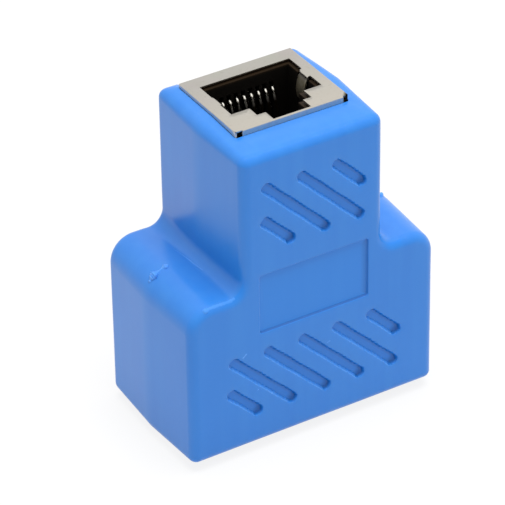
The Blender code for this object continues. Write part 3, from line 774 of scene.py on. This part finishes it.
# Socket shields: nickel-plated sheet steel 0.25 mm thick, cut and folded into a can around
# each socket, with a stepped window for the plug, two spring tabs and two solder legs.
SHEET, FOLD, CORNER, CUT_EDGE = 0.25, 0.12, 0.14, 0.03
WINDOW_MARGIN, WINDOW_BEND = 0.4, 0.07
PLUG_HALF, STEP_HALF, LATCH_HALF = 6.0, 3.45, 2.25
CAVITY_TOP, LEDGE, STEP_FLOOR = 4.2, -2.5, -4.25
NOTCH_WIDTH, NOTCH_DEPTH, LEFT_REACH, RIGHT_REACH = 0.72, 1.1, 0.16, 0.3
LIP, FLARE_DEPTH = 3.0, 5.5
LEG_LOW, LEG_HIGH, LEG_TIP = 8.7, 7.1, -9.45
TAB_LOW, TAB_HIGH, TAB_ROWS, TAB_BEND, TAB_LEAN, TAB_LENGTH = -0.3, 1.7, 7, 0.4, 0.5, 3.4


def window_outline():
    """The stepped opening in the sheet, counter-clockwise, with small rounded corners.

    A corner is the quadratic curve between the points 0.07 mm to each side of it, and both
    sides carry a point for each row of their spring tab.
    """
    wide, step, latch, top = np.array([PLUG_HALF, STEP_HALF, LATCH_HALF, CAVITY_TOP]) + WINDOW_MARGIN
    ledge, floor = np.array([LEDGE, STEP_FLOOR]) - WINDOW_MARGIN
    front = -JACK_HALF_HEIGHT + SHEET
    half = [(latch, front), (latch, floor), (step, floor), (step, ledge), (wide, ledge), (wide, top)]
    corners = np.array(half + [(-x, y) for x, y in half[::-1]])
    ends = []
    for ahead in (1, -1):
        way = np.roll(corners, ahead, axis=0) - corners
        way /= np.linalg.norm(way, axis=1, keepdims=True)
        ends.append((corners + way * WINDOW_BEND)[:, None])
    t = np.array([0.0, 0.3, 0.7, 1.0])[None, :, None]
    bend = (1 - t) ** 2 * ends[0] + 2 * t * (1 - t) * corners[:, None] + t ** 2 * ends[1]
    loop = bend.reshape(-1, 2)
    rows = np.linspace(TAB_LOW, TAB_HIGH, TAB_ROWS)
    on_right = np.column_stack([np.full(TAB_ROWS, wide), rows])
    on_left = np.column_stack([np.full(TAB_ROWS, -wide), rows[::-1]])
    cut_right, cut_left = 5 * t.size, 7 * t.size
    return np.concatenate([loop[:cut_right], on_right, loop[cut_right:cut_left], on_left, loop[cut_left:]])


def notch_end(x):
    """How far back a corner notch reaches down the side wall, on the side that x is on."""
    return np.where(x > 0, RIGHT_REACH, LEFT_REACH) - JACK_HALF_HEIGHT


def shield_sheet():
    """Outer skin of the folded can in the socket's own frame, as shells of points and faces.

    A profile of a quarter fold, straight wall and quarter fold runs down a round-cornered box.
    Quads are dropped for the corner notches and for the side that lies open to the board, and
    the side walls flare a little towards the mouth.
    """
    cut_x = JACK_HALF_WIDTH - NOTCH_WIDTH
    marks = np.array([(side * JACK_HALF_WIDTH, notch_end(side)) for side in (1, -1)])
    steps = np.array([(cut_x, -JACK_HALF_HEIGHT), (cut_x + 0.02, -JACK_HALF_HEIGHT)])
    path = round_box(JACK_HALF_WIDTH, JACK_HALF_HEIGHT, CORNER, 4, 0.9)
    path = np.concatenate([path, marks, steps, steps * (-1.0, 1.0)])
    path = path[np.argsort(np.arctan2(path[:, 1], path[:, 0]))]
    turn = np.radians(np.linspace(0.0, 90.0, 7))
    front = np.stack([-FOLD * (1 - np.sin(turn)), FOLD * (1 - np.cos(turn))], -1)
    wall = np.array([NOTCH_DEPTH, 1.8, LIP, 5.0, LEG_HIGH, LEG_LOW, 12.0, 16.0, JACK_DEPTH - FOLD])
    wall = np.column_stack([np.zeros(len(wall)), wall])
    back = np.stack([-FOLD * (1 - np.cos(turn[1:])), JACK_DEPTH - FOLD * (1 - np.sin(turn[1:]))], -1)
    profile = np.concatenate([front, wall, back])
    core = np.array([JACK_HALF_WIDTH - CORNER, JACK_HALF_HEIGHT - CORNER])
    normal = path - np.clip(path, -core, core)
    normal /= np.linalg.norm(normal, axis=1, keepdims=True)
    flat = path[None] + profile[:, :1, None] * normal[None]
    depth = np.broadcast_to(-profile[:, 1, None, None], flat.shape[:2] + (1,))
    points = np.concatenate([flat, depth], -1)
    quads = ring_quads(*points.shape[:2]).reshape(-1, 4)
    height = points.reshape(-1, 3)[quads].mean(1)[:, 2]
    base_x, base_y = np.tile((path + np.roll(path, -1, axis=0)) / 2, (len(points) - 1, 1)).T
    notch = (np.abs(base_x) > cut_x) & (base_y < notch_end(base_x)) & (height > -NOTCH_DEPTH)
    opened = (base_y < CORNER - JACK_HALF_HEIGHT) & (height < -LIP)
    rim = flat[0].copy()
    cut = np.abs(rim[:, 0]) > cut_x + 0.01
    rim[:, 1] = np.where(cut, np.maximum(rim[:, 1], notch_end(rim[:, 0])), rim[:, 1])
    plate, plate_faces = fill_flat(rim, [window_outline()], 1.5)
    rear, rear_faces = fill_flat(flat[-1], [], 3.0)
    return [(flared(points.reshape(-1, 3)), quads[~(notch | opened)].tolist()),
            (flared(at_depth(plate, 0.0)), plate_faces),
            (flared(at_depth(rear, -JACK_DEPTH)), rear_faces)]


def flared(points):
    """Points whose side walls stand 0.1 or 0.3 mm further out at the mouth, gone 5.5 mm down."""
    x, y, z = points.T
    share = ramp(np.abs(x) - 7.0, 0.5) * ramp(FLARE_DEPTH + z, 1.5)
    return np.stack([x + np.where(x < 0, -FLARE_LEFT, FLARE_RIGHT) * share, y, z], -1)


def strip(points, turned):
    """Points and quads of an open strip of rows, its faces turned round where turned is true."""
    quads = ring_quads(*points.shape[:2], closed=False).reshape(-1, 4)
    return points.reshape(-1, 3), (quads[:, ::-1] if turned else quads).tolist()


def spring_tab(side):
    """A strip that turns down from the window's edge, leans into the cavity and eases off.

    Across the tab a point keeps its row, and along it follows a quarter bend of 0.4 mm and
    then x = throat - 0.5 sin(0.8 pi s), where s runs from the bend to the tip.
    """
    throat = PLUG_HALF + WINDOW_MARGIN - TAB_BEND
    curve = arc_points((throat + TAB_BEND, -TAB_BEND), TAB_BEND, 90, 90, 8)
    s = np.linspace(0.0, 1.0, 12)[1:]
    straight = np.stack([throat - TAB_LEAN * np.sin(math.pi * 0.8 * s), -TAB_BEND - TAB_LENGTH * s], -1)
    along = np.concatenate([curve, straight])[:, None]
    middle = (TAB_LOW + TAB_HIGH) / 2
    rows = np.linspace(TAB_LOW, TAB_HIGH, TAB_ROWS)[None]
    y = middle + (rows - middle) * np.linspace(1.0, 0.82, len(along))[:, None]
    points = np.stack(np.broadcast_arrays(side * along[..., 0], y, along[..., 1]), -1)
    return strip(points, side > 0)


def solder_leg(side):
    """A tapered tongue in the plane of the side wall, through the board to its solder pad."""
    y = np.linspace(CORNER - JACK_HALF_HEIGHT, LEG_TIP, 7)
    taper = ramp(y - LEG_TIP, 0.8) * 0.3 + 0.7
    middle, half = (LEG_LOW + LEG_HIGH) / 2, (LEG_LOW - LEG_HIGH) / 2
    z = -middle + np.outer(taper * half, [1.0, -1.0])
    points = np.stack(np.broadcast_arrays(side * JACK_HALF_WIDTH, y[:, None], z), -1)
    return strip(points, side < 0)


SOCKETS = {"top": 0.0, "left": -LOWER_JACK_X, "right": LOWER_JACK_X}


def in_socket(points, key):
    """Points of a socket's own frame put in their place: the lower sockets face downwards."""
    x, y, z = points.T
    if key == "top":
        return np.stack([x, y + JACK_Y, z + JACK_TOP], -1)
    return np.stack([SOCKETS[key] - x, y + JACK_Y, -z], -1)


def mouth_depth(z, key):
    """How far heights lie inside a socket's mouth."""
    return JACK_TOP - z if key == "top" else z


def mark_tarnish(mesh, key):
    """Stores a mark: 1 where the spring tabs are tarnished below their bends, 2 for painted shade on the
    notches' cut edges.
    """
    x, y, z = mesh_points(mesh).T
    depth, across = mouth_depth(z, key), np.abs(x - SOCKETS[key])
    tab = (across < PLUG_HALF + WINDOW_MARGIN) & (depth < 4.5) & (np.abs(y - JACK_Y) < 2.5)
    notch = (np.abs(y - JACK_Y + JACK_HALF_HEIGHT - RIGHT_REACH) < 0.02) & (across > JACK_HALF_WIDTH - 0.2)
    # Painted shade: near-black on the notches' cut edges.
    shaded_cut = notch & (depth < NOTCH_DEPTH + 0.05)
    add_mark(mesh, "tarnish_and_shade", np.where(tab, ramp(depth - 0.45, 0.4), 0.0) + 2.0 * shaded_cut)


PINK_NICKEL, YELLOW_NICKEL = (0.525, 0.485, 0.460), (0.500, 0.495, 0.435)
# Painted light: the paler nickel over the plates' fronts. Painted shade: the near-black on the notches'
# cut edges.
LIT_FRONT_NICKEL, DULL_SPOT = (0.610, 0.570, 0.500), (0.34, 0.31, 0.24)
TARNISH_BROWN, NOTCH_SHADE = (0.23, 0.20, 0.13), (0.015, 0.014, 0.013)


def nickel():
    """Satin nickel plate with fine rolling lines, faint bloom and dull spots, with painted light
    that makes it paler towards the front.

    Where its mark is 1 the plate is tarnished brown and rough, and where it is 2 the cut edge is
    painted near-black as shade.
    """
    finish, tree, shader, spot = new_finish("satin_nickel")
    rolled = grain(tree, spot, 700.0, 3.0, 0.6, (0.12, 1.0, 1.0))
    bloom = grain(tree, spot, 260.0, 3.0)
    specks = grain(tree, spot, 1900.0)
    tarnish_and_shade = read_attribute(tree, "tarnish_and_shade")
    # Painted light makes the front paler, and painted shade makes the notches' cut edges near-black.
    color = layered(
        tree, PINK_NICKEL, (step_between(bloom, 0.3, 0.7), YELLOW_NICKEL),
        (1.0 - step_between(part_of(tree, spot, "Y"), -0.005, 0.006), LIT_FRONT_NICKEL),
        (step_between(specks, 0.6, 0.8) * 0.25, DULL_SPOT),
        (tarnish_and_shade.math("MINIMUM", 1.0) * (0.6 + specks * 0.5), TARNISH_BROWN),
        (step_between(tarnish_and_shade, 1.1, 1.8), NOTCH_SHADE))
    feed(tree, shader, Base_Color=color, Metallic=1.0,
         Roughness=0.22 + rolled * 0.10 + bloom * 0.06 + tarnish_and_shade * 0.25,
         Normal=bump(tree, specks, 0.25, 0.000010, Normal=bump(tree, rolled, 0.25, 0.000012)))
    return finish


nickel_finish = nickel()
sheet_shells = shield_sheet() + [spring_tab(1), spring_tab(-1), solder_leg(1), solder_leg(-1)]
for key in SOCKETS:
    shells = [(in_socket(points, key), faces) for points, faces in sheet_shells]
    shield_mesh = joined_mesh(key + "_shield_can", shells, 2e-7)
    mark_tarnish(shield_mesh, key)
    shield = new_piece(key + "_shield_can", shield_mesh, nickel_finish, "shield", 35, key + "_shield")
    wall = shield.modifiers.new("sheet_thickness", "SOLIDIFY")
    wall.thickness = SHEET / 1000.0
    wall.offset = -1.0
    wall.use_quality_normals = True
    cut_edges = shield.modifiers.new("cut_edges", "BEVEL")
    cut_edges.width = CUT_EDGE / 1000.0
    cut_edges.segments = 1
    cut_edges.limit_method = "ANGLE"
    cut_edges.angle_limit = math.radians(60)


# Housings and carriers: black glass-filled moulding, pressed into the shields. The CAD shapes
# stay, and their finish is painted brown-black at the rim of the mouth, as the light that grazes it.
BLACK, WARM_BLACK, SCUFF, RIM_LIGHT_BROWN = (
    (0.0024, 0.0018, 0.0014), (0.0046, 0.0036, 0.0026), (0.012, 0.009, 0.006), (0.020, 0.012, 0.006))
TOP_RIM_Z, LOWER_RIM_Z = 0.0438, 0.0005


def black_moulding():
    """Black moulding with fine flow mottle, a brown cast painted at the rims as grazing light, and light
    scuffing.
    """
    finish, tree, shader, spot = new_finish("black_moulding")
    flow = grain(tree, spot, 320.0, 3.0)
    fine = grain(tree, spot, 4200.0)
    height = part_of(tree, spot, "Z")
    to_top, to_base = (height - TOP_RIM_Z).math("ABSOLUTE"), (height - LOWER_RIM_Z).math("ABSOLUTE")
    # Painted light: brown at the rim of the mouth, where light grazes it.
    rim = 1.0 - step_between(to_top.math("MINIMUM", to_base), 0.00005, 0.00030)
    color = layered(tree, BLACK, (flow, WARM_BLACK), (step_between(fine, 0.62, 0.85) * 0.4, SCUFF),
                    (rim * (0.4 + flow * 0.6), RIM_LIGHT_BROWN))
    feed(tree, shader, Base_Color=color, Roughness=0.50 + flow * 0.15, Specular_IOR_Level=0.15,
         Normal=bump(tree, fine, 0.3, 0.00001))
    return finish


def refinish(node_name, finish):
    """Gives a CAD node that stays its finish."""
    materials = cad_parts[node_name].data.materials
    materials.clear()
    materials.append(finish)


black_finish = black_moulding()
for key in SOCKETS:
    refinish(key + "_housing", black_finish)
    refinish(key + "_carrier", black_finish)


# Contact wires: eight round gold-flashed springs in each socket, bent up from the board, led
# through the carrier and over the comb, and folded back into the cavity at the mouth.
CONTACTS, CONTACT_PITCH = 8, 1.02
WIRE_RADIUS, WIRE_SIDES, WIRE_CHAMFER = 0.175, 12, 0.06
WIRE_RUN, HAIRPIN_RADIUS, HAIRPIN_DEPTH, BEAM_END = 4.7, 0.5, 3.4, 10.4
BEAM_SLOPE = math.tan(math.radians(20.0))
TAIL_ROWS, TAIL_TIP, TAIL_BEND = (15.2, 17.7), -9.55, 0.6
# Painted light: the wire's top near the mouth is pale as its glint, and the rest is near-black brown as
# shade.
GLINT_END, GLINT_FADE = 0.45, 0.55
SHADED_GOLD, SHADED_BROWN_GOLD, GLINT_GOLD = (0.012, 0.008, 0.004), (0.024, 0.017, 0.008), (0.98, 0.95, 0.86)


def contact_curve(row):
    """Middle line of a wire in Y and Z: tail, bend, run, hairpin and sloped beam."""
    bend = arc_points((WIRE_RUN - TAIL_BEND, TAIL_BEND - row), TAIL_BEND, -90, 90, 6)
    hairpin = arc_points((WIRE_RUN - HAIRPIN_RADIUS, -HAIRPIN_DEPTH), HAIRPIN_RADIUS, 0, 160, 14)
    tip = (hairpin[-1, 0] - (hairpin[-1, 1] + BEAM_END) * BEAM_SLOPE, -BEAM_END)
    return np.concatenate([[(TAIL_TIP, -row)], bend, hairpin, run_points(hairpin[-1], tip, 6), [tip]])


def wire_tube(curve, x):
    """A round wire along a flat curve: rings of its radius across each point's mean direction.

    Each end has one more ring, 0.06 mm on and 0.6 times as wide, which chamfers it.
    """
    ahead = np.gradient(curve, axis=0)
    ahead /= np.linalg.norm(ahead, axis=1, keepdims=True)
    across = np.stack([-ahead[:, 1], ahead[:, 0]], -1)
    scale = np.concatenate([[0.6], np.ones(len(curve)), [0.6]])
    first, last = curve[:1] - ahead[:1] * WIRE_CHAMFER, curve[-1:] + ahead[-1:] * WIRE_CHAMFER
    curve = np.concatenate([first, curve, last])
    across = np.concatenate([across[:1], across, across[-1:]])
    angle = np.linspace(0.0, 2 * math.pi, WIRE_SIDES, endpoint=False)
    ring = WIRE_RADIUS * scale[:, None]
    yz = curve[:, None] + (ring * np.cos(angle))[..., None] * across[:, None]
    return tube(np.concatenate([(x + ring * np.sin(angle))[..., None], yz], -1))


def gold_flash():
    """Gold plating, painted pale on the hairpin's top as its glint and near-black brown elsewhere as
    shade.
    """
    finish, tree, shader, spot = new_finish("gold_flash")
    drawn = grain(tree, spot, 2600.0, 2.0, 0.6, (1.0, 1.0, 0.1))
    painted_glint = read_attribute(tree, "painted_glint")
    feed(tree, shader, Metallic=1.0, Roughness=0.42 - painted_glint * 0.28 + drawn * 0.10,
         Base_Color=layered(tree, SHADED_GOLD, (drawn, SHADED_BROWN_GOLD), (painted_glint, GLINT_GOLD)),
         Normal=bump(tree, drawn, 0.2, 0.000006))
    return finish


gold_finish = gold_flash()
for key in SOCKETS:
    for number in range(CONTACTS):
        curve = contact_curve(TAIL_ROWS[number % 2])
        points, faces = wire_tube(curve, (number - (CONTACTS - 1) / 2) * CONTACT_PITCH)
        wire_name = f"{key}_wire_{number + 1}"
        wire_mesh = joined_mesh(wire_name, [(in_socket(points, key), faces)])
        depth = mouth_depth(mesh_points(wire_mesh)[:, 2], key)
        # Painted glint: the mark is 1 near the hairpin's top and fades down the beam.
        add_mark(wire_mesh, "painted_glint", ramp(HAIRPIN_DEPTH + GLINT_END - depth, GLINT_FADE))
        new_piece(wire_name, wire_mesh, gold_finish, "contact", 50, f"{key}_contact_{number + 1}")


# Circuit board: green-masked glass epoxy between the sockets and the front skin, which carries
# the joints of all three sockets. Only its CAD solid is needed, as the moulding covers it.
DARK_MASK, PALE_MASK = (0.010, 0.10, 0.035), (0.030, 0.20, 0.075)


def green_mask():
    """Solder mask with the glass weave just showing through and a soft gloss."""
    finish, tree, shader, spot = new_finish("green_solder_mask")
    weave = grain(tree, spot, 1500.0, 1.0, 0.5, (1.0, 1.0, 0.15))
    cross = grain(tree, spot, 1500.0, 1.0, 0.5, (0.15, 1.0, 1.0))
    feed(tree, shader, Base_Color=layered(tree, DARK_MASK, (weave * cross, PALE_MASK)),
         Roughness=0.28 + weave * 0.12, Normal=bump(tree, weave + cross, 0.2, 0.00001))
    return finish


refinish("circuit_board", green_mask())


# Studio: a white sweep under the adapter, a white room round it and one broad soft light
# overhead. To the camera and to glossy surfaces the sweep and the room are plain white.
FLOOR_HALF, FLOOR_ROWS, FLOOR_Z = 1.2, 9, -0.00005
ROOM_LEVEL = 0.5
LAMP_PLACE, LAMP_AIM = Vector((0.05, -0.08, 0.75)), Vector((0.0, 0.0, 0.022))
LAMP_SIZE, LAMP_POWER = 0.55, 7.5


def rays_seen(tree):
    """1 for rays straight from the camera, and 1 for rays from a glossy surface."""
    rays = add_node(tree, "LightPath")
    return Value(tree, rays.outputs["Is Camera Ray"]), Value(tree, rays.outputs["Is Glossy Ray"])


floor_line = np.linspace(-FLOOR_HALF, FLOOR_HALF, FLOOR_ROWS)
floor_x, floor_y = np.meshgrid(floor_line, floor_line)
floor_points, floor_faces = strip(np.stack([floor_x, floor_y, np.full_like(floor_x, FLOOR_Z)], -1), False)
floor_mesh = bpy.data.meshes.new("white_sweep")
floor_mesh.from_pydata(floor_points.tolist(), [], floor_faces)
floor = bpy.data.objects.new("white_sweep", floor_mesh)
bpy.context.scene.collection.objects.link(floor)

sweep, tree, shader, _ = new_finish("white_sweep")
feed(tree, shader, Base_Color=(0.80, 0.80, 0.80), Roughness=0.9)
white = add_node(tree, "Emission", Color=(1.0, 1.0, 1.0), Strength=1.0)
seen, mirrored = rays_seen(tree)
blended = add_node(tree, "MixShader")
for socket, value in enumerate((seen * 0.86 + mirrored * 0.7, shader.outputs[0], white.outputs[0])):
    plug(tree, blended.inputs[socket], value)
feed(tree, tree.nodes["Material Output"], Surface=blended.outputs[0])
floor_mesh.materials.append(sweep)

world = bpy.data.worlds.new("studio")
bpy.context.scene.world = world
world.use_nodes = True
tree = world.node_tree
seen, mirrored = rays_seen(tree)
feed(tree, tree.nodes["Background"], Color=(1.0, 1.0, 1.0),
     Strength=seen.math("MAXIMUM", mirrored) * (1.0 - ROOM_LEVEL) + ROOM_LEVEL)

lamp = bpy.data.lights.new("overhead", "AREA")
lamp.size = LAMP_SIZE
lamp.energy = LAMP_POWER
overhead = bpy.data.objects.new("overhead", lamp)
overhead.location = LAMP_PLACE
overhead.rotation_euler = (LAMP_AIM - LAMP_PLACE).to_track_quat("-Z", "Y").to_euler()
overhead.visible_glossy = False
bpy.context.scene.collection.objects.link(overhead)
bpy.context.scene.view_settings.view_transform = "Standard"
